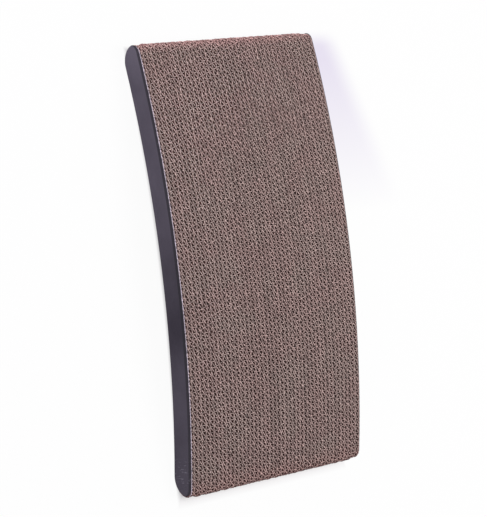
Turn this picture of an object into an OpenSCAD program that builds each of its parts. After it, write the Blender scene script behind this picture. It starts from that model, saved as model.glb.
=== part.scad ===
// Cardboard cat scratcher: a bent pad of die-cut corrugated strips, glued face to face.
// It lies on the floor as a low arch with the scratching face up.
// X runs along the length, Y across the stack of strips, Z up.
// The origin is on the floor, midway along the length and midway across the stack.

/* [Pad] */
// Length along the bend, measured in the middle of the thickness from end to end
pad_length = 575; // [300:5:900]
// Thickness from the hollow underside to the scratching face
pad_thick = 34; // [20:0.5:60]
// Bend radius, measured in the middle of the thickness
bend_radius = 1350; // [600:10:4000]
// Radius of each end on the scratching face's side; the underside's takes the rest
face_round = 12; // [5:0.5:14]

/* [Strips] */
// Thickness of one double-wall board, and so the pitch of the strips across the pad
board_thick = 6.4; // [3:0.1:9]
// How many strips are glued side by side
strip_count = 44; // [4:1:50]

/* [Covers] */
// Thickness of the dark card glued on each long side
cover_thick = 0.6; // [0.3:0.1:2]
// How far the card stays back from the long edges of the strip that carries it
cover_edge_back = 0.5; // [0.2:0.1:3]
// How far the card stays back from the ends of that strip
cover_end_back = 2; // [0.5:0.1:10]

/* [Hidden] */
// Two digits keep the strips in order when their names are sorted
function strip_name(i) = str("strip_", i < 10 ? "0" : "", i);

// Outlines are fine enough that the round ends and the long bend read as smooth
$fn = 720;
// Overrun of every cutting shape past the piece that it cuts
cut_over = 1;
// How far a rounding's circle reaches past the two faces that it blends, so that no sliver is left
blend_over = 0.01;

// Width of the glued stack of strips, without the covers
stack_width = strip_count * board_thick;
// Radius of each end on the underside: both roundings meet on the end line
under_round = pad_thick - face_round;
// Distance from the bend's centre to the centre of an underside rounding
under_centre_r = bend_radius - pad_thick / 2 + under_round;
// Height of the bend's centre above the centres of the underside roundings
under_drop = under_centre_r * cos(end_angle(0) - asin(under_round / under_centre_r));
// Height of the bend's centre: the underside roundings then touch the floor
bend_height = under_round + blend_over - under_drop;

// Half the angle that the pad spans, with each end drawn back along the bend
function end_angle(end_back) = (pad_length / 2 - end_back) / bend_radius * 180 / PI;

// The sector of the bend between both end lines, seen from the bend's centre
module bend_sector(reach, angle) {
    // The corners lie far enough out that the straight edge between them clears the face
    corner_r = reach / cos(angle);
    polygon([
        [0, 0],
        [-corner_r * sin(angle), corner_r * cos(angle)],
        [corner_r * sin(angle), corner_r * cos(angle)]
    ]);
}

// What rounding one corner takes away, where the end line runs along +Y and the pad lies at -X.
// The way is 1 on the scratching face and -1 on the underside.
module corner_cut(centre_r, round_r, way) {
    reach = round_r + cut_over;
    centre = [-round_r, sqrt(pow(centre_r, 2) - pow(round_r, 2))];
    outward = way * centre / centre_r;
    along = [1, 0];
    difference() {
        polygon([
            centre,
            centre + reach * outward,
            centre + reach * (outward + along),
            centre + reach * along
        ]);
        translate(centre) circle(r = round_r + blend_over);
    }
}

// Side outline of the pad, drawn back from the long edges and from the ends
module pad_outline(edge_back, end_back) {
    outer_r = bend_radius + pad_thick / 2 - edge_back;
    inner_r = bend_radius - pad_thick / 2 + edge_back;
    face_r = face_round - edge_back;
    under_r = under_round - edge_back;
    angle = end_angle(end_back);
    translate([0, bend_height]) difference() {
        intersection() {
            difference() {
                circle(r = outer_r);
                circle(r = inner_r);
            }
            bend_sector(outer_r + cut_over, angle);
        }
        for (side = [0, 1]) {
            mirror([side, 0]) rotate(-angle) {
                corner_cut(outer_r - face_r, face_r, 1);
                corner_cut(inner_r + under_r, under_r, -1);
            }
        }
    }
}

// A flat piece that stands across the stack, from near_y towards +Y
module upright(near_y, thick) {
    translate([0, near_y + thick, 0]) rotate([90, 0, 0]) linear_extrude(thick) children();
}

// One die-cut strip of board, counted from the -Y side
module strip(i) {
    // Every second strip is a little darker, so that neighbours can be told apart
    color(i % 2 == 0 ? "#8a7672" : "#7d6a66")
        upright((i - 1) * board_thick - stack_width / 2, board_thick)
            pad_outline(0, 0);
}

// The dark card on the -Y side
module left_cover() {
    color("#45414c")
        upright(-stack_width / 2 - cover_thick, cover_thick)
            pad_outline(cover_edge_back, cover_end_back);
}

// The dark card on the +Y side
module right_cover() {
    color("#45414c")
        upright(stack_width / 2, cover_thick)
            pad_outline(cover_edge_back, cover_end_back);
}

for (i = [1:strip_count]) {
    strip(i);
}
left_cover();
right_cover();
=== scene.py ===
import math
import random

import bpy
from mathutils import Euler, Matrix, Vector


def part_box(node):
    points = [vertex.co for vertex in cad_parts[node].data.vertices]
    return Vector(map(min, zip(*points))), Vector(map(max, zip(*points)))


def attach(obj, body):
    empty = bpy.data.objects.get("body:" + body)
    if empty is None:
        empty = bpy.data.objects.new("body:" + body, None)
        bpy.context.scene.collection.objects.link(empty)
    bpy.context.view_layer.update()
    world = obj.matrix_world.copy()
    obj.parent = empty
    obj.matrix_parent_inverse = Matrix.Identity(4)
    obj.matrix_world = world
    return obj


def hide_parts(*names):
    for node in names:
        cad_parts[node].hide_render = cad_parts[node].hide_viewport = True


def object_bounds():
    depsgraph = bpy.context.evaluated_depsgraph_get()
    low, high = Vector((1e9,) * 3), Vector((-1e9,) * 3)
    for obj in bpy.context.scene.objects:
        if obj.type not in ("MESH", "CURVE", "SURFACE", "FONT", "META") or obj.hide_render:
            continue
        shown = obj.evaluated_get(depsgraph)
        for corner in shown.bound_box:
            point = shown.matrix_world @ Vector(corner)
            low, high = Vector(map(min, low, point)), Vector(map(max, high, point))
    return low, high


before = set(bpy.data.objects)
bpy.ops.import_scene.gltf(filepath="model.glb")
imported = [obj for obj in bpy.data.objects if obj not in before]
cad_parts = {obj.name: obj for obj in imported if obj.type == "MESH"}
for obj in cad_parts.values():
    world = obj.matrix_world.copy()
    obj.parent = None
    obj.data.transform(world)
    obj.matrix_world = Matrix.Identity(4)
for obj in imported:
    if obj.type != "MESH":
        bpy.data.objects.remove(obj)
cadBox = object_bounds()
padStart, padEnd = cadBox[0][0], cadBox[1][0]  # along X
scene = bpy.context.scene
stripNames = sorted(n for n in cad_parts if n.startswith("strip_"))
mm = 0.001
print("frame loaded with", len(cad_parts), "nodes")


def linearColour(hexColour):
    channels = [int(hexColour[i:i + 2], 16) / 255 for i in (1, 3, 5)]
    curve = [c / 12.92 if c <= 0.04045 else ((c + 0.055) / 1.055) ** 2.4 for c in channels]
    return (*curve, 1.0)


# A node given as an input stands for its first output.
# In a colour Mix node, inputs 6 and 7 are the two colours and output 2 is the result.
def addNode(tree, kind, inputs=None, **settings):
    node = tree.nodes.new(kind)
    for name, value in settings.items():
        setattr(node, name, value)
    for name, value in (inputs or {}).items():
        if isinstance(value, bpy.types.Node):
            value = value.outputs[0]
        if isinstance(value, bpy.types.NodeSocket):
            tree.links.new(value, node.inputs[name])
        else:
            node.inputs[name].default_value = value
    return node


def noiseScale(size):
    return 500 / size  # a patch of that many mm is half a cell of the noise


def addInputs(tree, rows):
    for name, kind, value in rows:
        socket = tree.interface.new_socket(name, in_out="INPUT", socket_type=kind)
        if value is not None:
            socket.default_value = value
    tree.interface.new_socket("Geometry", in_out="OUTPUT", socket_type="NodeSocketGeometry")
    return addNode(tree, "NodeGroupInput").outputs


def addPiece(name, meshName, tree, values):
    piece = bpy.data.objects.new(name, bpy.data.meshes.new(meshName))
    scene.collection.objects.link(piece)
    modifier = piece.modifiers.new("paper", "NODES")
    modifier.node_group = tree
    sockets = {item.name: item.identifier for item in tree.interface.items_tree
               if item.in_out == "INPUT"}
    for label, value in values.items():
        modifier[sockets[label]] = value
    return piece


def keepAsMesh(piece, graph):
    mesh = bpy.data.meshes.new_from_object(piece.evaluated_get(graph), depsgraph=graph)
    mesh.materials.pop(index=0)  # the grid's own empty slot
    piece.modifiers.clear()
    piece.data = mesh


# The camera stands at the -Y side above the scratching face, as the photograph was taken.
# The pad stood on its +X end there, so the camera is rolled and -X points up in the picture.
cameraSettings = {
    "place": (-0.12632, -1.57865, 2.05813),  # m
    "turn": (2.4119, -37.6667, 81.5288),  # degrees, XYZ
    "lens": 138.857,  # mm, on a 36 mm sensor along the picture's long side
    "sensor": 36.0,
    "clip": (0.05, 60),  # m
}


def makeCamera(settings):
    data = bpy.data.cameras.new("photoCamera")
    data.lens = settings["lens"]
    data.sensor_width = settings["sensor"]
    data.clip_start, data.clip_end = settings["clip"]
    camera = bpy.data.objects.new("photoCamera", data)
    camera.location = settings["place"]
    camera.rotation_euler = Euler([math.radians(a) for a in settings["turn"]], "XYZ")
    scene.collection.objects.link(camera)
    scene.camera = camera


makeCamera(cameraSettings)
scene.view_settings.view_transform = "Standard"
print("camera set")

# Pale floor, white surroundings and soft lamps
stageSettings = {
    "floorSide": 16.0,  # m
    "floorDrop": 0.0002,  # m under the pad, so that the two never share a plane
    "paper": "#F6F6F8",
    "lift": 0.95,  # share of plain white that the camera sees in the lit floor near the pad
    "underFade": 0.010,  # m over which that share falls to nothing under the pad's edges
    "footBack": 0.007,  # m inside the +X end, on which the pad stood, where the share starts
    "footFade": 0.023,  # m over which it grows there, so that the foot keeps a wider shadow
    "archHalf": 0.265,  # m from the middle to where the arch meets the floor
    "archSight": 0.014,  # m that the camera sees under the arch
    "paintedShadow": "#E8E2F2",  # painted faint lilac shadow that starts beside the -X end, on the +Y side
    "shadeStart": (-0.293, -0.266),  # m along X, over which it comes in
    "shadeFade": (-0.25, -0.04),  # m along X, over which it goes
    "shadeSide": (0.284, 0.328),  # m along Y, over which its far side goes where X is 0
    "shadeWiden": 0.39,  # m that this side moves along Y for each m along X
    "nearEdge": 0.55,  # m from the middle, where the lit floor starts to fade to plain white
    "farEdge": 1.3,
    "skyLight": 0.50,
    "skyColour": "#F4F4FA",
}
lampSettings = [
    # name, place, aimed at, side in m, watts, colour
    ("keyLamp", (0.1, 0.75, 2.05), (0, 0, 0.03), 1.2, 25, "#FFFAF5"),
    ("sideLamp", (-0.85, -1.0, 0.55), (-0.1, 0, 0.03), 0.5, 3.2, "#F8F6FF"),
    ("endLamp", (-1.4, 0.1, 0.25), (-0.28, 0, 0.02), 0.4, 1.8, "#FFF6F6"),
]


# 1 for a ray that shows the surroundings: straight to the camera, off a gloss or through glass
def addSeen(tree):
    path = addNode(tree, "ShaderNodeLightPath").outputs
    seen = addNode(tree, "ShaderNodeMath", {
        0: path["Is Camera Ray"], 1: path["Is Glossy Ray"]}, operation="MAXIMUM")
    return addNode(tree, "ShaderNodeMath", {
        0: seen, 1: path["Is Transmission Ray"]}, operation="MAXIMUM")


# White, with a painted lilac shadow as a wedge that widens and fades towards +X
def addWhiteWithPaintedShadow(tree, settings, x, y):
    aside = addNode(tree, "ShaderNodeMath", {
        0: x, 1: -settings["shadeWiden"], 2: y}, operation="MULTIPLY_ADD")
    share = addNode(tree, "ShaderNodeMath", {0: y, 1: 0.0}, operation="GREATER_THAN")
    for value, span, ends, curve in (
            (x, "shadeStart", (0, 1), "SMOOTHSTEP"),
            (x, "shadeFade", (1, 0), "LINEAR"),
            (aside, "shadeSide", (1, 0), "SMOOTHSTEP")):
        part = addNode(tree, "ShaderNodeMapRange", {
            "Value": value, "From Min": settings[span][0], "From Max": settings[span][1],
            "To Min": ends[0], "To Max": ends[1]}, interpolation_type=curve)
        share = addNode(tree, "ShaderNodeMath", {0: share, 1: part}, operation="MULTIPLY")
    return addNode(tree, "ShaderNodeMix", {
        0: share, 6: (1, 1, 1, 1), 7: linearColour(settings["paintedShadow"])},
        data_type="RGBA").outputs[2]


# Under the pad the floor stays truly lit, so that the open flutes look dark from above
def addWhiteNearPad(tree, settings, x, y):
    back = addNode(tree, "ShaderNodeMath", {0: x, 1: -1.0}, operation="MULTIPLY")
    arch = addNode(tree, "ShaderNodeMath", {0: x, 1: settings["archHalf"]}, operation="DIVIDE")
    arch = addNode(tree, "ShaderNodeMath", {0: arch, 1: 2.0}, operation="POWER")
    arch = addNode(tree, "ShaderNodeMapRange", {
        "Value": arch, "To Min": settings["archSight"], "To Max": 0.0})
    across = addNode(tree, "ShaderNodeMath", {0: y}, operation="ABSOLUTE")
    across = addNode(tree, "ShaderNodeMath", {0: across, 1: arch}, operation="ADD")
    padSide = cadBox[1][1]
    shares = []
    for value, start, width in (
            (x, padEnd - settings["footBack"], settings["footFade"]),
            (back, padEnd - settings["underFade"], settings["underFade"]),
            (across, padSide - settings["underFade"], settings["underFade"])):
        shares.append(addNode(tree, "ShaderNodeMapRange", {
            "Value": value, "From Min": start, "From Max": start + width,
            "To Max": settings["lift"]}))
    share = shares[0]
    for other in shares[1:]:
        share = addNode(tree, "ShaderNodeMath", {0: share, 1: other}, operation="MAXIMUM")
    return share


# Studio paper, matt and white: it takes the pad's soft shadow and runs out to plain white, with a faint
# lilac shadow painted beside the -X end
def makeStudioPaper(settings):
    material = bpy.data.materials.new("studioPaper")
    material.use_nodes = True
    tree = material.node_tree
    tree.nodes.clear()
    place = addNode(tree, "ShaderNodeTexCoord").outputs["Object"]
    axes = addNode(tree, "ShaderNodeSeparateXYZ", {0: place}).outputs
    away = addNode(tree, "ShaderNodeVectorMath", {0: place}, operation="LENGTH")
    far = addNode(tree, "ShaderNodeMapRange", {
        "Value": away.outputs["Value"], "From Min": settings["nearEdge"],
        "From Max": settings["farEdge"]}, interpolation_type="SMOOTHSTEP")
    near = addWhiteNearPad(tree, settings, axes["X"], axes["Y"])
    plain = addNode(tree, "ShaderNodeMath", {0: far, 1: near}, operation="MAXIMUM")
    share = addNode(tree, "ShaderNodeMath", {0: addSeen(tree), 1: plain}, operation="MULTIPLY")
    lit = addNode(tree, "ShaderNodeBsdfDiffuse", {"Color": linearColour(settings["paper"])})
    # The plain white that the camera sees carries the painted lilac shadow
    white = addNode(tree, "ShaderNodeEmission", {
        "Color": addWhiteWithPaintedShadow(tree, settings, axes["X"], axes["Y"]), "Strength": 1.0})
    whole = addNode(tree, "ShaderNodeMixShader", {0: share, 1: lit, 2: white})
    # From below the floor is clear, so that the underside can be looked at
    below = addNode(tree, "ShaderNodeNewGeometry").outputs["Backfacing"]
    clear = addNode(tree, "ShaderNodeBsdfTransparent")
    whole = addNode(tree, "ShaderNodeMixShader", {0: below, 1: whole, 2: clear})
    addNode(tree, "ShaderNodeOutputMaterial", {"Surface": whole})
    return material


def makeFloor(settings, paper):
    half = settings["floorSide"] / 2
    z = -settings["floorDrop"]
    corners = [(-half, -half, z), (half, -half, z), (half, half, z), (-half, half, z)]
    mesh = bpy.data.meshes.new("floor")
    mesh.from_pydata(corners, [], [(0, 1, 2, 3)])
    mesh.materials.append(paper)
    floor = bpy.data.objects.new("floor", mesh)
    scene.collection.objects.link(floor)


def makeWorld(settings):
    world = bpy.data.worlds.new("studioWorld")
    world.use_nodes = True
    tree = world.node_tree
    tree.nodes.clear()
    light = addNode(tree, "ShaderNodeBackground", {
        "Color": linearColour(settings["skyColour"]), "Strength": settings["skyLight"]})
    shown = addNode(tree, "ShaderNodeBackground", {"Color": (1, 1, 1, 1), "Strength": 1.0})
    whole = addNode(tree, "ShaderNodeMixShader", {0: addSeen(tree), 1: light, 2: shown})
    addNode(tree, "ShaderNodeOutputWorld", {"Surface": whole})
    scene.world = world


def makeLamps(rows):
    for name, place, target, side, watts, colour in rows:
        data = bpy.data.lights.new(name, "AREA")
        data.shape = "SQUARE"
        data.size = side
        data.energy = watts
        data.color = linearColour(colour)[:3]
        lamp = bpy.data.objects.new(name, data)
        lamp.location = place
        aim = Vector(target) - Vector(place)
        lamp.rotation_euler = aim.to_track_quat("-Z", "Y").to_euler()
        scene.collection.objects.link(lamp)


makeFloor(stageSettings, makeStudioPaper(stageSettings))
makeWorld(stageSettings)
makeLamps(lampSettings)
print("stage and lamps set")

# One sheet of paper in a board: a flat liner, or a fluted medium when it swings.
# It runs the whole length and stands from the underside to the scratching face.
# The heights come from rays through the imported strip, so the sheet keeps its outline.
sheetInputs = [
    # name, kind, starting value
    ("Outline", "NodeSocketGeometry", None),
    ("Outline Y", "NodeSocketFloat", 0.0),  # where the rays pass
    ("Middle Y", "NodeSocketFloat", 0.0),
    ("Paper", "NodeSocketFloat", 0.0002),
    ("Swing", "NodeSocketFloat", 0.0),  # flute height from the middle line to a crest
    ("Pitch", "NodeSocketFloat", 0.008),
    ("Phase", "NodeSocketFloat", 0.0),  # in pitches
    ("Steps", "NodeSocketInt", 200),
    ("Reach", "NodeSocketFloat", 0.28),  # from the middle to the end
    ("End Radius", "NodeSocketFloat", 0.012),
    ("Trim", "NodeSocketFloat", 0.0),  # how much shorter the sheet is at each end
    ("Slide", "NodeSocketFloat", 0.0),  # how far it lies towards +X
    ("Fray", "NodeSocketFloat", 0.0),  # most that the cut edges stand back from the outline
    ("Lean", "NodeSocketFloat", 0.0),  # how far a flute leans along X for each unit of swing
    ("Spread", "NodeSocketFloat", 0.0),  # how much thicker the paper is on a steep flank
    ("Swell", "NodeSocketFloat", 0.0),  # how much thicker the paper is at the +X end
    ("Crush", "NodeSocketFloat", 0.0),  # how far the die pushed the cut edges about
    ("Seed", "NodeSocketFloat", 0.0),
]
sheetSettings = {
    "drift": 0.08,  # most that a flute wanders from its even place, in pitches
    "slack": 0.94,  # least that it swings, as a share of the full swing
    "slackLevels": (0.3, 0.7),
    "driftScale": 22.0,  # noise cells in a metre
    "crushScale": 160.0,
    "rayStarts": (0.2, -0.1),  # m, well above the pad and well below it
    "hairInside": 0.99997,  # share of the way to the end at which the end's heights are taken
    "openUntil": 0.99999,  # share of the way to the end at which the sheet closes to an edge
    "merge": 0.000001,  # m
    "crease": 1.1,  # radians, past which an edge stays sharp
}


# Five columns go once round the sheet: up one side, over the cut edge, down and back underneath
def addColumns(tree, column):
    isCut = addNode(tree, "ShaderNodeMath", {0: column, 1: 2.0}, operation="FLOORED_MODULO")
    isCut = addNode(tree, "FunctionNodeCompare", {0: isCut, 1: 1.0}, operation="GREATER_THAN")
    side = addNode(tree, "ShaderNodeMath", {0: column, 1: 0.5}, operation="SUBTRACT")
    side = addNode(tree, "ShaderNodeMath", {0: side}, operation="ABSOLUTE")
    side = addNode(tree, "ShaderNodeMath", {0: side, 1: 1.0}, operation="SUBTRACT")
    side = addNode(tree, "ShaderNodeMath", {0: side}, operation="SIGN")
    isTop = addNode(tree, "ShaderNodeMath", {0: column, 1: 0.5}, operation="ADD")
    isTop = addNode(tree, "ShaderNodeMath", {0: isTop}, operation="ABSOLUTE")
    isTop = addNode(tree, "ShaderNodeMath", {0: isTop, 1: 1.0}, operation="LESS_THAN")
    return isCut, side, isTop


# Even steps along the top line, so that the round ends get as many as the straight part.
# The second result falls from 1 to 0 where an end turns down. It calms the lean and the crush.
def addRun(tree, given, share):
    straight = addNode(tree, "ShaderNodeMath", {
        0: given["Reach"], 1: given["End Radius"]}, operation="SUBTRACT")
    whole = addNode(tree, "ShaderNodeMath", {
        0: given["End Radius"], 1: math.pi / 2, 2: straight}, operation="MULTIPLY_ADD")
    away = addNode(tree, "ShaderNodeMath", {0: share, 1: whole}, operation="MULTIPLY")
    away = addNode(tree, "ShaderNodeMath", {0: away}, operation="ABSOLUTE")
    turned = addNode(tree, "ShaderNodeMath", {0: away, 1: straight}, operation="SUBTRACT")
    turned = addNode(tree, "ShaderNodeMath", {0: turned, 1: 0.0}, operation="MAXIMUM")
    turned = addNode(tree, "ShaderNodeMath", {0: turned, 1: given["End Radius"]}, operation="DIVIDE")
    turned = addNode(tree, "ShaderNodeMath", {0: turned}, operation="SINE")
    base = addNode(tree, "ShaderNodeMath", {0: away, 1: straight}, operation="MINIMUM")
    reached = addNode(tree, "ShaderNodeMath", {
        0: turned, 1: given["End Radius"], 2: base}, operation="MULTIPLY_ADD")
    way = addNode(tree, "ShaderNodeMath", {0: share}, operation="SIGN")
    along = addNode(tree, "ShaderNodeMath", {0: reached, 1: way}, operation="MULTIPLY")
    calm = addNode(tree, "ShaderNodeMath", {0: 1.0, 1: turned}, operation="SUBTRACT")
    return along, calm


# The middle height and the full height of the strip at this place, less what the cut has frayed
def addHeights(tree, given, settings, share, along, seedPlace):
    inside = addNode(tree, "ShaderNodeMath", {
        0: along, 1: settings["hairInside"]}, operation="MULTIPLY")
    rough = addNode(tree, "ShaderNodeTexWhiteNoise", {"Vector": seedPlace}, noise_dimensions="3D")
    worn = addNode(tree, "ShaderNodeMath", {0: rough, 1: given["Fray"]}, operation="MULTIPLY")
    heights = []
    for start, way in zip(settings["rayStarts"], (-1.0, 1.0)):
        source = addNode(tree, "ShaderNodeCombineXYZ", {
            0: inside, 1: given["Outline Y"], 2: start})
        hit = addNode(tree, "GeometryNodeRaycast", {
            "Target Geometry": given["Outline"], "Source Position": source,
            "Ray Direction": (0, 0, way), "Ray Length": 1.0})
        height = addNode(tree, "ShaderNodeSeparateXYZ", {0: hit.outputs["Hit Position"]})
        heights.append(addNode(tree, "ShaderNodeMath", {
            0: worn, 1: way, 2: height.outputs["Z"]}, operation="MULTIPLY_ADD"))
    high, low = heights
    middle = addNode(tree, "ShaderNodeMath", {0: high, 1: low}, operation="ADD")
    middle = addNode(tree, "ShaderNodeMath", {0: middle, 1: 0.5}, operation="MULTIPLY")
    tall = addNode(tree, "ShaderNodeMath", {0: high, 1: low}, operation="SUBTRACT")
    isOpen = addNode(tree, "ShaderNodeMath", {0: share}, operation="ABSOLUTE")
    isOpen = addNode(tree, "ShaderNodeMath", {
        0: isOpen, 1: settings["openUntil"]}, operation="LESS_THAN")
    tall = addNode(tree, "ShaderNodeMath", {0: tall, 1: isOpen}, operation="MULTIPLY")
    return middle, tall


# The flute swings about the middle line, and drifts and slackens a little as real ones do.
# What comes back is its place across the board, how steep it gets, and the cosine of its turn.
def addFlute(tree, given, settings, along, seedPlace):
    noise = addNode(tree, "ShaderNodeTexNoise", {
        "Vector": seedPlace, "Scale": settings["driftScale"], "Detail": 1.0}).outputs
    slack = addNode(tree, "ShaderNodeMapRange", {
        "Value": noise[1], "From Min": settings["slackLevels"][0],
        "From Max": settings["slackLevels"][1], "To Min": settings["slack"]})
    drift = addNode(tree, "ShaderNodeMapRange", {
        "Value": noise[0], "To Min": -settings["drift"], "To Max": settings["drift"]})
    turn = addNode(tree, "ShaderNodeMath", {0: along, 1: given["Pitch"]}, operation="DIVIDE")
    for more in (given["Phase"], drift):
        turn = addNode(tree, "ShaderNodeMath", {0: turn, 1: more}, operation="ADD")
    turn = addNode(tree, "ShaderNodeMath", {0: turn, 1: math.tau}, operation="MULTIPLY")
    sine = addNode(tree, "ShaderNodeMath", {0: turn}, operation="SINE")
    cosine = addNode(tree, "ShaderNodeMath", {0: turn}, operation="COSINE")
    swing = addNode(tree, "ShaderNodeMath", {0: given["Swing"], 1: slack}, operation="MULTIPLY")
    steep = addNode(tree, "ShaderNodeMath", {0: swing, 1: given["Pitch"]}, operation="DIVIDE")
    steep = addNode(tree, "ShaderNodeMath", {0: steep, 1: math.tau}, operation="MULTIPLY")
    swung = addNode(tree, "ShaderNodeMath", {0: swing, 1: sine}, operation="MULTIPLY")
    return swung, steep, cosine


# Half the paper's thickness, square to the flute.
# The die spread a flute where it runs across the board, more than at its crests.
def addThickness(tree, given, share, side, steep, cosine):
    back = addNode(tree, "ShaderNodeMath", {0: steep, 1: cosine}, operation="MULTIPLY")
    back = addNode(tree, "ShaderNodeMath", {0: back, 1: -1.0}, operation="MULTIPLY")
    normal = addNode(tree, "ShaderNodeCombineXYZ", {0: back, 1: 1.0, 2: 0.0})
    normal = addNode(tree, "ShaderNodeVectorMath", {0: normal}, operation="NORMALIZE")
    flank = addNode(tree, "ShaderNodeMath", {0: cosine, 1: cosine}, operation="MULTIPLY")
    flank = addNode(tree, "ShaderNodeMath", {0: flank, 1: steep}, operation="MULTIPLY")
    flank = addNode(tree, "ShaderNodeMath", {
        0: flank, 1: given["Spread"], 2: 1.0}, operation="MULTIPLY_ADD")
    swollen = addNode(tree, "ShaderNodeMath", {
        0: share, 1: given["Swell"], 2: 1.0}, operation="MULTIPLY_ADD")
    half = addNode(tree, "ShaderNodeMath", {0: given["Paper"], 1: 0.5}, operation="MULTIPLY")
    for factor in (flank, swollen, side):
        half = addNode(tree, "ShaderNodeMath", {0: half, 1: factor}, operation="MULTIPLY")
    return addNode(tree, "ShaderNodeVectorMath", {0: normal, "Scale": half}, operation="SCALE")


# Neighbouring cut edges were pushed about together, on each face by itself
def addCrush(tree, given, settings, along, isTop, calm):
    place = addNode(tree, "ShaderNodeCombineXYZ", {0: along, 1: given["Middle Y"], 2: isTop})
    noise = addNode(tree, "ShaderNodeTexNoise", {
        "Vector": place, "Scale": settings["crushScale"], "Detail": 1.0})
    pushed = addNode(tree, "ShaderNodeVectorMath", {
        0: noise.outputs[1], 1: (0.5, 0.5, 0.5)}, operation="SUBTRACT")
    pushed = addNode(tree, "ShaderNodeVectorMath", {
        0: pushed, 1: (1.0, 1.0, 0.0)}, operation="MULTIPLY")
    push = addNode(tree, "ShaderNodeMath", {0: calm, 1: given["Crush"]}, operation="MULTIPLY")
    return addNode(tree, "ShaderNodeVectorMath", {0: pushed, "Scale": push}, operation="SCALE")


def makeSheetTree(rows, settings):
    tree = bpy.data.node_groups.new("paperSheet", "GeometryNodeTree")
    given = addInputs(tree, rows)
    grid = addNode(tree, "GeometryNodeMeshGrid", {
        "Size X": 2.0, "Size Y": 4.0, "Vertices X": given["Steps"], "Vertices Y": 5})
    place = addNode(tree, "GeometryNodeInputPosition")
    place = addNode(tree, "ShaderNodeSeparateXYZ", {0: place}).outputs
    share = place["X"]  # of the way from the middle to an end, -1 to 1
    isCut, side, isTop = addColumns(tree, place["Y"])
    along, calm = addRun(tree, given, share)
    seedPlace = addNode(tree, "ShaderNodeCombineXYZ", {
        0: along, 1: given["Middle Y"], 2: given["Seed"]})
    middle, tall = addHeights(tree, given, settings, share, along, seedPlace)
    swung, steep, cosine = addFlute(tree, given, settings, along, seedPlace)

    kept = addNode(tree, "ShaderNodeMath", {0: given["Trim"], 1: given["Reach"]}, operation="DIVIDE")
    kept = addNode(tree, "ShaderNodeMath", {0: 1.0, 1: kept}, operation="SUBTRACT")
    x = addNode(tree, "ShaderNodeMath", {
        0: along, 1: kept, 2: given["Slide"]}, operation="MULTIPLY_ADD")
    leant = addNode(tree, "ShaderNodeMath", {0: swung, 1: calm}, operation="MULTIPLY")
    x = addNode(tree, "ShaderNodeMath", {
        0: leant, 1: given["Lean"], 2: x}, operation="MULTIPLY_ADD")
    y = addNode(tree, "ShaderNodeMath", {0: swung, 1: given["Middle Y"]}, operation="ADD")
    upward = addNode(tree, "ShaderNodeMath", {0: isTop, 1: 0.5}, operation="SUBTRACT")
    z = addNode(tree, "ShaderNodeMath", {0: tall, 1: upward, 2: middle}, operation="MULTIPLY_ADD")
    spot = addNode(tree, "ShaderNodeCombineXYZ", {0: x, 1: y, 2: z})
    for move in (addThickness(tree, given, share, side, steep, cosine),
                 addCrush(tree, given, settings, along, isTop, calm)):
        spot = addNode(tree, "ShaderNodeVectorMath", {0: spot, 1: move}, operation="ADD")

    # The paper's looks need its cut edges, and how far a point lies from each of the pad's faces
    shape = addNode(tree, "GeometryNodeStoreNamedAttribute", {
        "Geometry": grid, "Name": "cutEdge", "Value": isCut}, data_type="FLOAT", domain="FACE")
    shape = addNode(tree, "GeometryNodeFlipFaces", {"Mesh": shape})
    isLow = addNode(tree, "ShaderNodeMath", {0: 1.0, 1: isTop}, operation="SUBTRACT")
    for name, isFar in (("fromFace", isLow), ("fromUnder", isTop)):
        depth = addNode(tree, "ShaderNodeMath", {0: tall, 1: isFar}, operation="MULTIPLY")
        shape = addNode(tree, "GeometryNodeStoreNamedAttribute", {
            "Geometry": shape, "Name": name, "Value": depth}, data_type="FLOAT", domain="POINT")
    shape = addNode(tree, "GeometryNodeSetPosition", {"Geometry": shape, "Position": spot})
    shape = addNode(tree, "GeometryNodeMergeByDistance", {
        "Geometry": shape, "Distance": settings["merge"]})
    crease = addNode(tree, "GeometryNodeInputMeshEdgeAngle")
    isSharp = addNode(tree, "FunctionNodeCompare", {
        0: crease, 1: settings["crease"]}, operation="GREATER_THAN")
    shape = addNode(tree, "GeometryNodeSetShadeSmooth", {
        "Geometry": shape, "Selection": isSharp, "Shade Smooth": False}, domain="EDGE")
    addNode(tree, "NodeGroupOutput", {0: shape})
    return tree


sheetTree = makeSheetTree(sheetInputs, sheetSettings)

# Double-wall board: liner, tall flute, middle liner, short flute, liner. Lengths are in mm.
boardSettings = {
    "board": 6.4,
    "liner": 0.28,
    "tallPaper": 0.38,  # paper swells and fuzzes where it is cut
    "shortPaper": 0.50,
    "tallRoom": 3.95,  # between the liners, for the tall flute
    "middleLiner": 0.28,
    "spread": 1.5,  # growth of the paper's thickness for each unit of a flank's slope
    "tallPitch": 7.95,
    "shortPitch": 6.7,
    "stepsPerFlute": 12,
    "length": 600,  # along which the steps are counted, a little more than the pad's own
    "linerSteps": 90,
    "tallLag": 0.275,  # how much each board's flutes lag the last one's, in pitches
    "shortLag": -0.13,
    "lagSpread": 0.02,  # most that a board's tall flutes stray from that, in pitches
    "endRadius": 12.0,  # of the pad's round ends, next to the scratching face
    "fray": 0.25,  # most that the cut edges stand back
    "lean": 0.85,  # tangent of the flutes' lean
    "leanSpread": 0.05,  # most that a board's lean strays from that
    "crush": 0.45,  # from one side to the other, how far cut edges were pushed about
    "swell": 0.05,  # share by which the paper is thicker at the +X end than in the middle
    "trim": 0.25,  # most that a strip falls short of the full length, at each end
    "slide": 0.15,  # most that a strip lies off centre
    "outerStrips": 2,  # so many strips at each side are shorter than the others
    "outerTrim": 1.2,  # by this
    "outerLiner": 1.8,  # the free liner under the left card, with the lining of the card itself
    "seed": 7,
}
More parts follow.
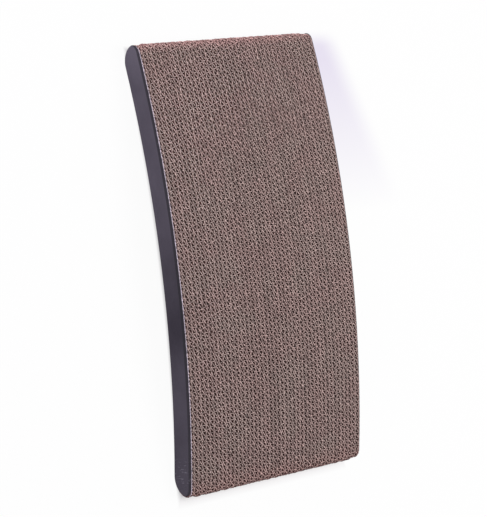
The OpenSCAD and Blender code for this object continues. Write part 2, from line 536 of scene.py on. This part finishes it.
boardInputs = [
    # name, kind, starting value
    ("Strip", "NodeSocketObject", None),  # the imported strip
    ("Near Y", "NodeSocketFloat", 0.0),  # its side at -Y
    ("Board", "NodeSocketFloat", 0.0064),  # its thickness
    ("Reach", "NodeSocketFloat", 0.28),
    ("Tall Phase", "NodeSocketFloat", 0.0),
    ("Short Phase", "NodeSocketFloat", 0.0),
    ("Trim", "NodeSocketFloat", 0.0),
    ("Slide", "NodeSocketFloat", 0.0),
    ("Lean", "NodeSocketFloat", 0.0),
    ("Near Liner", "NodeSocketFloat", 0.0003),
    ("Far Liner", "NodeSocketFloat", 0.0003),
    ("Tone", "NodeSocketFloat", 0.5),  # how pale the board is among the others, 0 to 1
    ("Seed", "NodeSocketFloat", 0.0),
    ("Paper Look", "NodeSocketMaterial", None),
]


def listSheets(settings):
    liner, middleLiner, tallRoom = (settings[k] for k in ("liner", "middleLiner", "tallRoom"))
    tallPaper, shortPaper = settings["tallPaper"], settings["shortPaper"]
    innerLine = liner + tallRoom
    shortRoom = settings["board"] - 2 * liner - tallRoom - middleLiner
    return [
        # distance of its middle from the near side, paper, swing, pitch, phase socket
        (0, "Near Liner", 0, 1, None),
        (liner + tallRoom / 2, tallPaper, (tallRoom - tallPaper) / 2,
         settings["tallPitch"], "Tall Phase"),
        (innerLine + middleLiner / 2, middleLiner, 0, 1, None),
        (innerLine + middleLiner + shortRoom / 2, shortPaper, (shortRoom - shortPaper) / 2,
         settings["shortPitch"], "Short Phase"),
        (settings["board"], "Far Liner", 0, 1, None),
    ]


def makeBoardTree(rows, settings, sheet):
    tree = bpy.data.node_groups.new("doubleWallBoard", "GeometryNodeTree")
    given = addInputs(tree, rows)
    strip = addNode(tree, "GeometryNodeObjectInfo", {"Object": given["Strip"]})
    middle = addNode(tree, "ShaderNodeMath", {
        0: given["Board"], 1: 0.5, 2: given["Near Y"]}, operation="MULTIPLY_ADD")
    joined = addNode(tree, "GeometryNodeJoinGeometry")
    for index, (away, paper, swing, pitch, phase) in enumerate(listSheets(settings)):
        y = addNode(tree, "ShaderNodeMath", {0: given["Near Y"], 1: away * mm}, operation="ADD")
        isOuter = isinstance(paper, str)
        if isOuter:
            # An outer liner's whole thickness lies inside the board
            inward = 0.5 if index == 0 else -0.5
            y = addNode(tree, "ShaderNodeMath", {
                0: given[paper], 1: inward, 2: y}, operation="MULTIPLY_ADD")
        seed = addNode(tree, "ShaderNodeMath", {0: given["Seed"], 1: index}, operation="ADD")
        steps = settings["stepsPerFlute"] * settings["length"] / pitch if swing else settings["linerSteps"]
        part = addNode(tree, "GeometryNodeGroup", {
            "Outline": strip.outputs["Geometry"], "Outline Y": middle, "Middle Y": y,
            "Paper": given[paper] if isOuter else paper * mm,
            "Swing": swing * mm, "Pitch": pitch * mm, "Phase": given[phase] if phase else 0.0,
            "Steps": int(steps) // 2 * 2 + 1,  # an odd number, so that one falls in the middle
            "Reach": given["Reach"], "End Radius": settings["endRadius"] * mm,
            "Trim": given["Trim"], "Slide": given["Slide"], "Lean": given["Lean"],
            "Fray": settings["fray"] * mm, "Crush": settings["crush"] * mm,
            "Spread": settings["spread"], "Swell": settings["swell"], "Seed": seed},
            node_tree=sheet)
        for name, value in (("tone", given["Tone"]), ("fluted", 1.0 if swing else 0.0)):
            part = addNode(tree, "GeometryNodeStoreNamedAttribute", {
                "Geometry": part, "Name": name, "Value": value}, data_type="FLOAT", domain="FACE")
        tree.links.new(part.outputs[0], joined.inputs[0])
    real = addNode(tree, "GeometryNodeRealizeInstances", {0: joined})
    done = addNode(tree, "GeometryNodeSetMaterial", {
        "Geometry": real, "Material": given["Paper Look"]})
    addNode(tree, "NodeGroupOutput", {0: done})
    return tree


boardTree = makeBoardTree(boardInputs, boardSettings, sheetTree)
print("board trees built")

# Kraft paper, unbleached and uncoated: brown fibre, quite matt, a little paler where it is cut
kraftSettings = {
    "wall": "#7C5852",
    "wallPale": "#8D6A64",
    "wallLevels": (0.35, 0.65),  # of the fibre noise, between which one colour becomes the other
    # Painted shade deep in the cells, added to the shade the render gives
    "paintedCellShade": "#4C1C12",
    "paintedShadeFrom": 0.2,  # mm below the cut, where the painted shade on a flute's wall starts
    "paintedShadeTo": 1.2,  # mm below the cut, where it is darkest
    "cut": "#9A8480",
    "cutPale": "#B8A5A1",
    "cutLevels": (0.45, 0.68),
    # The round ends: pinker and paler at the -X end, partly painted light; redder at the +X end, with
    # painted shade over its last few mm: which end, mm that it reaches, share, colour
    "ends": [(-1, 14, 0.45, "#E0AFAC"), (1, 30, 0.25, "#B97F7B"), (1, 5, 0.5, "#4E3C38")],
    "paintedLightGain": 0.04,  # how much paler the paper is at the -X end than in the middle: painted light, as if that end were lit more
    "patchOne": "#B59490",  # pulp of two kinds drifts through the paper
    "patchTwo": "#A39D93",
    "patchLevels": (0.4, 0.6),
    "patchSize": 22,  # mm
    "patchShare": 0.16,  # of a cut edge's colour
    # The pale liner next to the left card, and a dark line of painted shade at its very edge, beside the
    # card: mm wide, colour
    "sideLines": [(1.7, "#B5ABBA"), (0.55, "#2A2530")],
    "toneSpread": 0.08,  # most that a board is paler or darker than the others
    "fluteGain": 1.24,  # a flute's edge is torn rougher than a liner's, so it is paler
    "roughness": 0.85,
    "fibre": 0.45,  # mm, drawn coarser than real fibre so that it shows
    "fibreDepth": 0.05,  # mm
    "fibreStrength": 0.5,
    "fleck": 0.75,  # mm across a tuft of torn fibre
    "fleckLevels": (0.35, 0.68),
    "fleckGain": (0.38, 1.82),  # how dark and how pale the flecks make the paper
}


def addBlend(tree, noise, levels, colour, otherColour):
    share = addNode(tree, "ShaderNodeMapRange", {
        "Value": noise, "From Min": levels[0], "From Max": levels[1]})
    return addNode(tree, "ShaderNodeMix", {
        0: share, 6: linearColour(colour), 7: linearColour(otherColour)},
        data_type="RGBA").outputs[2]


# Walls with painted shade that darkens into the cells, and paler cut edges with patches of pulp
def addPaperColour(tree, settings, place, fibre, cut):
    wall = addBlend(tree, fibre, settings["wallLevels"], settings["wall"], settings["wallPale"])
    depths = [addNode(tree, "ShaderNodeAttribute", attribute_name=name).outputs["Fac"]
              for name in ("fromFace", "fromUnder")]
    depth = addNode(tree, "ShaderNodeMath", {0: depths[0], 1: depths[1]}, operation="MINIMUM")
    # Painted shade: the walls darken with depth below the cut
    paintedShadeShare = addNode(tree, "ShaderNodeMapRange", {
        "Value": depth, "From Min": settings["paintedShadeFrom"] * mm, "From Max": settings["paintedShadeTo"] * mm})
    wall = addNode(tree, "ShaderNodeMix", {
        0: paintedShadeShare, 6: wall, 7: linearColour(settings["paintedCellShade"])}, data_type="RGBA").outputs[2]
    edge = addBlend(tree, fibre, settings["cutLevels"], settings["cut"], settings["cutPale"])
    colour = addNode(tree, "ShaderNodeMix", {0: cut, 6: wall, 7: edge}, data_type="RGBA").outputs[2]
    patches = addNode(tree, "ShaderNodeTexNoise", {
        "Vector": place, "Scale": noiseScale(settings["patchSize"]), "Detail": 2.0})
    patch = addBlend(tree, patches, settings["patchLevels"], settings["patchOne"],
                     settings["patchTwo"])
    patchShare = addNode(tree, "ShaderNodeMath", {
        0: cut, 1: settings["patchShare"]}, operation="MULTIPLY")
    return addNode(tree, "ShaderNodeMix", {
        0: patchShare, 6: colour, 7: patch}, data_type="RGBA").outputs[2]


# The tints of both round ends, with painted light at -X and painted shade at +X, and the lines along the
# left card, the dark one painted shade
def addEdgeTintsAndPaintedShade(tree, settings, colour, x, y, cut):
    # Pinker and paler at the -X end, partly painted light; darker over the last mm of the +X end as
    # painted shade
    for way, reach, most, tint in settings["ends"]:
        away = addNode(tree, "ShaderNodeMath", {0: x, 1: way}, operation="MULTIPLY")
        share = addNode(tree, "ShaderNodeMapRange", {
            "Value": away, "From Min": padEnd - reach * mm, "From Max": padEnd, "To Max": most})
        colour = addNode(tree, "ShaderNodeMix", {
            0: share, 6: colour, 7: linearColour(tint)}, data_type="RGBA").outputs[2]
    outward = addNode(tree, "ShaderNodeMath", {0: y, 1: -1.0}, operation="MULTIPLY")
    stackSide = -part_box(stripNames[0])[0].y
    # The dark line is painted shade along the card's edge
    for width, tint in settings["sideLines"]:
        share = addNode(tree, "ShaderNodeMath", {
            0: outward, 1: stackSide - width * mm}, operation="GREATER_THAN")
        share = addNode(tree, "ShaderNodeMath", {0: share, 1: cut}, operation="MULTIPLY")
        colour = addNode(tree, "ShaderNodeMix", {
            0: share, 6: colour, 7: linearColour(tint)}, data_type="RGBA").outputs[2]
    return colour


# How pale the paper is here: by board, by its torn flutes, by painted light along the pad and by its
# flecks
def addStrength(tree, settings, place, x, cut):
    tone = addNode(tree, "ShaderNodeAttribute", attribute_name="tone").outputs["Fac"]
    strength = addNode(tree, "ShaderNodeMapRange", {
        "Value": tone, "To Min": 1 - settings["toneSpread"], "To Max": 1 + settings["toneSpread"]})
    fluted = addNode(tree, "ShaderNodeAttribute", attribute_name="fluted").outputs["Fac"]
    torn = addNode(tree, "ShaderNodeMath", {0: fluted, 1: cut}, operation="MULTIPLY")
    torn = addNode(tree, "ShaderNodeMapRange", {
        "Value": torn, "To Min": 1.0, "To Max": settings["fluteGain"]})
    # Painted light: paler towards the -X end, darker towards the +X end
    paintedLightAlong = addNode(tree, "ShaderNodeMapRange", {
        "Value": x, "From Min": padStart, "From Max": padEnd,
        "To Min": 1 + settings["paintedLightGain"], "To Max": 1 - settings["paintedLightGain"]})
    fleck = addNode(tree, "ShaderNodeTexNoise", {
        "Vector": place, "Scale": noiseScale(settings["fleck"]), "Detail": 1.0})
    fleck = addNode(tree, "ShaderNodeMapRange", {
        "Value": fleck, "From Min": settings["fleckLevels"][0],
        "From Max": settings["fleckLevels"][1],
        "To Min": settings["fleckGain"][0], "To Max": settings["fleckGain"][1]})
    for factor in (torn, paintedLightAlong, fleck):
        strength = addNode(tree, "ShaderNodeMath", {0: strength, 1: factor}, operation="MULTIPLY")
    return strength


def makeKraft(settings):
    material = bpy.data.materials.new("kraftPaper")
    material.use_nodes = True
    tree = material.node_tree
    place = addNode(tree, "ShaderNodeTexCoord").outputs["Object"]
    axes = addNode(tree, "ShaderNodeSeparateXYZ", {0: place}).outputs
    cut = addNode(tree, "ShaderNodeAttribute", attribute_name="cutEdge").outputs["Fac"]
    fibre = addNode(tree, "ShaderNodeTexNoise", {
        "Vector": place, "Scale": noiseScale(settings["fibre"]), "Detail": 3.0, "Roughness": 0.6})
    colour = addPaperColour(tree, settings, place, fibre, cut)
    colour = addEdgeTintsAndPaintedShade(tree, settings, colour, axes["X"], axes["Y"], cut)
    strength = addStrength(tree, settings, place, axes["X"], cut)
    toned = addNode(tree, "ShaderNodeHueSaturation", {"Color": colour, "Value": strength})
    bump = addNode(tree, "ShaderNodeBump", {
        "Height": fibre, "Distance": settings["fibreDepth"] * mm,
        "Strength": settings["fibreStrength"]})
    shader = tree.nodes["Principled BSDF"]
    shader.inputs["Roughness"].default_value = settings["roughness"]
    tree.links.new(toned.outputs[0], shader.inputs["Base Color"])
    tree.links.new(bump.outputs[0], shader.inputs["Normal"])
    return material


def makeStrips(settings, tree, look):
    draws = random.Random(settings["seed"])
    made = []
    for index, name in enumerate(stripNames):
        low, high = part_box(name)
        stray = draws.uniform(-settings["lagSpread"], settings["lagSpread"])
        shortStray = draws.uniform(-2, 2) * settings["lagSpread"]  # short flutes stray twice as far
        fromSide = min(index, len(stripNames) - 1 - index)
        trim = draws.uniform(0, settings["trim"])
        if fromSide < settings["outerStrips"]:
            trim += settings["outerTrim"]
        board = addPiece(name.replace("strip", "board"), name, tree, {
            "Strip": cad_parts[name],
            "Near Liner": settings["liner" if index else "outerLiner"] * mm,
            "Far Liner": settings["liner"] * mm,
            "Near Y": low.y,
            "Board": high.y - low.y,
            "Reach": high.x,
            "Tall Phase": (settings["tallLag"] * index + stray) % 1,
            "Short Phase": (settings["shortLag"] * index + shortStray) % 1,
            "Trim": trim * mm,
            "Slide": draws.uniform(-settings["slide"], settings["slide"]) * mm,
            "Lean": settings["lean"] + draws.uniform(-1, 1) * settings["leanSpread"],
            "Tone": draws.random(),
            "Seed": float(index * 8),  # its five sheets take the seeds that follow
            "Paper Look": look,
        })
        made.append((board, name))
    bpy.context.view_layer.update()
    graph = bpy.context.evaluated_depsgraph_get()
    for board, name in made:
        keepAsMesh(board, graph)
        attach(board, "root")
        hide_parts(name)
    print("strips fluted:", len(made), "with", sum(len(b.data.polygons) for b, _ in made), "faces")


makeStrips(boardSettings, boardTree, makeKraft(kraftSettings))

# Charcoal card: solid-dyed, calendered smooth, with a low sheen and pale rubs near one end
cardSettings = {
    "trim": 1.9,  # mm shorter than the pad at each end
    "slide": -1.1,  # mm that the card was glued towards -X
    "steps": 261,
    "arris": 0.15,  # mm, the soft edge of the card
    "arrisAngle": 60,  # degrees, past which an edge is softened
    "base": "#251D2D",
    "pale": "#665F6D",
    # Painted light and reflection along the card, from the -X end to the +X end: share of the way, level
    "paintedLightAlongCard": [(0.0, 1.0), (0.1, 0.7), (0.35, 0.6), (0.6, 0.1), (0.78, 0.45), (1.0, 0.4)],
    # Painted shade along the card's edge next to the scratching face
    "paintedEdgeShade": "#17131D",
    "paintedEdgeShadeShare": 0.75,
    "paintedEdgeShadeWidth": (3.75, 5.0),  # mm from the scratching face, over which the painted shade fades out
    "rub": "#9A95A3",
    "rubSize": (0.7, 12.5, 4.0),  # mm along X, Y and Z
    "rubLevels": (0.6, 0.74),
    "rubShare": 0.7,
    "rubStart": (0.232, 0.252),  # m along X, where handling has scuffed the card
    "rubEnd": (0.264, 0.272),
    "mottle": 25.0,  # mm
    "mottleLevels": (0.3, 0.7),
    "mottleGain": 0.1,
    "grain": 1.6,  # mm, coarser than the card's real grain so that it shows
    "grainGain": 0.12,
    "grainDepth": 0.03,  # mm
    "grainStrength": 0.4,
    "roughness": 0.5,
    "roughSpread": 0.08,
    "specular": 0.15,  # uncoated, so its sheen is low
}


# Painted light and reflection along the card, brightest towards the -X end, with mottles and a fine grain
def addCardWithPaintedLight(tree, settings, place, x, grain):
    share = addNode(tree, "ShaderNodeMapRange", {
        "Value": x, "From Min": padStart, "From Max": padEnd})
    # Painted light and reflection: the card is brightest towards the -X end
    paintedLightAlongCard = addNode(tree, "ShaderNodeValToRGB", {0: share})
    paintedLightAlongCard.color_ramp.interpolation = "EASE"
    elements = paintedLightAlongCard.color_ramp.elements
    while len(elements) < len(settings["paintedLightAlongCard"]):
        elements.new(0.5)
    for element, (position, level) in zip(elements, settings["paintedLightAlongCard"]):
        element.position = position
        element.color = (level, level, level, 1)
    mottle = addNode(tree, "ShaderNodeTexNoise", {
        "Vector": place, "Scale": noiseScale(settings["mottle"]), "Detail": 4.0, "Roughness": 0.6})
    mottle = addNode(tree, "ShaderNodeMapRange", {
        "Value": mottle, "From Min": settings["mottleLevels"][0],
        "From Max": settings["mottleLevels"][1],
        "To Min": -settings["mottleGain"], "To Max": settings["mottleGain"]})
    level = addNode(tree, "ShaderNodeMath", {0: paintedLightAlongCard, 1: mottle}, operation="ADD")
    level = addNode(tree, "ShaderNodeMath", {
        0: grain, 1: settings["grainGain"], 2: level}, operation="MULTIPLY_ADD")
    level = addNode(tree, "ShaderNodeMath", {
        0: level, 1: settings["grainGain"] / 2}, operation="SUBTRACT", use_clamp=True)
    return addNode(tree, "ShaderNodeMix", {
        0: level, 6: linearColour(settings["base"]), 7: linearColour(settings["pale"])},
        data_type="RGBA").outputs[2]


# Scuffs: thin strokes across the card, only where hands and floor touch it
def addRubShare(tree, settings, place, x):
    strokes = addNode(tree, "ShaderNodeMapping", {
        "Vector": place, "Scale": [noiseScale(size) for size in settings["rubSize"]]})
    strokes = addNode(tree, "ShaderNodeTexNoise", {"Vector": strokes, "Scale": 1.0, "Detail": 2.0})
    factors = []
    for value, span, ends in (
            (x, "rubStart", (0, 1)), (x, "rubEnd", (1, 0)), (strokes, "rubLevels", (0, 1))):
        factors.append(addNode(tree, "ShaderNodeMapRange", {
            "Value": value, "From Min": settings[span][0], "From Max": settings[span][1],
            "To Min": ends[0], "To Max": ends[1]}))
    share = factors[0]
    for factor in factors[1:] + [settings["rubShare"]]:
        share = addNode(tree, "ShaderNodeMath", {0: share, 1: factor}, operation="MULTIPLY")
    return share


def makeCard(settings):
    material = bpy.data.materials.new("charcoalCard")
    material.use_nodes = True
    tree = material.node_tree
    place = addNode(tree, "ShaderNodeTexCoord").outputs["Object"]
    x = addNode(tree, "ShaderNodeSeparateXYZ", {0: place}).outputs["X"]
    grain = addNode(tree, "ShaderNodeTexNoise", {
        "Vector": place, "Scale": noiseScale(settings["grain"]), "Detail": 3.0})
    colour = addCardWithPaintedLight(tree, settings, place, x, grain)
    fromFace = addNode(tree, "ShaderNodeAttribute", attribute_name="fromFace").outputs["Fac"]
    # Painted shade along the card's edge next to the scratching face
    paintedEdgeShade = addNode(tree, "ShaderNodeMapRange", {
        "Value": fromFace, "From Min": settings["paintedEdgeShadeWidth"][0] * mm,
        "From Max": settings["paintedEdgeShadeWidth"][1] * mm,
        "To Min": settings["paintedEdgeShadeShare"], "To Max": 0.0})
    for share, name in ((paintedEdgeShade, "paintedEdgeShade"), (addRubShare(tree, settings, place, x), "rub")):
        colour = addNode(tree, "ShaderNodeMix", {
            0: share, 6: colour, 7: linearColour(settings[name])}, data_type="RGBA").outputs[2]
    rough = addNode(tree, "ShaderNodeMapRange", {
        "Value": grain, "To Min": settings["roughness"] - settings["roughSpread"],
        "To Max": settings["roughness"] + settings["roughSpread"]})
    bump = addNode(tree, "ShaderNodeBump", {
        "Height": grain, "Distance": settings["grainDepth"] * mm,
        "Strength": settings["grainStrength"]})
    shader = tree.nodes["Principled BSDF"]
    shader.inputs["Specular IOR Level"].default_value = settings["specular"]
    tree.links.new(colour, shader.inputs["Base Color"])
    tree.links.new(rough.outputs[0], shader.inputs["Roughness"])
    tree.links.new(bump.outputs[0], shader.inputs["Normal"])
    return material


# A card is one flat sheet of the same kind as a liner, with its outline from the strip beside it
cardInputs = [
    # name, kind, starting value
    ("Strip", "NodeSocketObject", None),
    ("Strip Y", "NodeSocketFloat", 0.0),  # the middle of the strip's thickness
    ("Middle Y", "NodeSocketFloat", 0.0),
    ("Thickness", "NodeSocketFloat", 0.0006),
    ("Reach", "NodeSocketFloat", 0.28),
    ("End Radius", "NodeSocketFloat", 0.012),
    ("Trim", "NodeSocketFloat", 0.0),
    ("Slide", "NodeSocketFloat", 0.0),
    ("Steps", "NodeSocketInt", 200),
    ("Card Look", "NodeSocketMaterial", None),
]


def makeCardTree(rows, sheet):
    tree = bpy.data.node_groups.new("cardFacing", "GeometryNodeTree")
    given = addInputs(tree, rows)
    strip = addNode(tree, "GeometryNodeObjectInfo", {"Object": given["Strip"]})
    part = addNode(tree, "GeometryNodeGroup", {
        "Outline": strip.outputs["Geometry"], "Outline Y": given["Strip Y"],
        "Middle Y": given["Middle Y"], "Paper": given["Thickness"], "Pitch": 1.0,
        "Steps": given["Steps"], "Reach": given["Reach"], "End Radius": given["End Radius"],
        "Trim": given["Trim"], "Slide": given["Slide"]}, node_tree=sheet)
    real = addNode(tree, "GeometryNodeRealizeInstances", {0: part})
    done = addNode(tree, "GeometryNodeSetMaterial", {
        "Geometry": real, "Material": given["Card Look"]})
    addNode(tree, "NodeGroupOutput", {0: done})
    return tree


def makeCovers(settings, tree, look):
    made = []
    for name, stripName in (("left_cover", stripNames[0]), ("right_cover", stripNames[-1])):
        low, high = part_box(name)
        stripLow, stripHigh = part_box(stripName)
        card = addPiece(name.replace("cover", "card"), name, tree, {
            "Strip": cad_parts[stripName],
            "Strip Y": (stripLow.y + stripHigh.y) / 2,
            "Middle Y": (low.y + high.y) / 2,
            "Thickness": high.y - low.y,
            "Reach": stripHigh.x,
            "End Radius": boardSettings["endRadius"] * mm,
            "Trim": settings["trim"] * mm,
            "Slide": settings["slide"] * mm,
            "Steps": settings["steps"],
            "Card Look": look,
        })
        bevel = card.modifiers.new("arris", "BEVEL")
        bevel.width = settings["arris"] * mm
        bevel.segments = 2
        bevel.limit_method = "ANGLE"
        bevel.angle_limit = math.radians(settings["arrisAngle"])
        made.append((card, name))
    bpy.context.view_layer.update()
    graph = bpy.context.evaluated_depsgraph_get()
    for card, name in made:
        keepAsMesh(card, graph)
        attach(card, "root")
        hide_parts(name)


makeCovers(cardSettings, makeCardTree(cardInputs, sheetTree), makeCard(cardSettings))
print("covers finished")
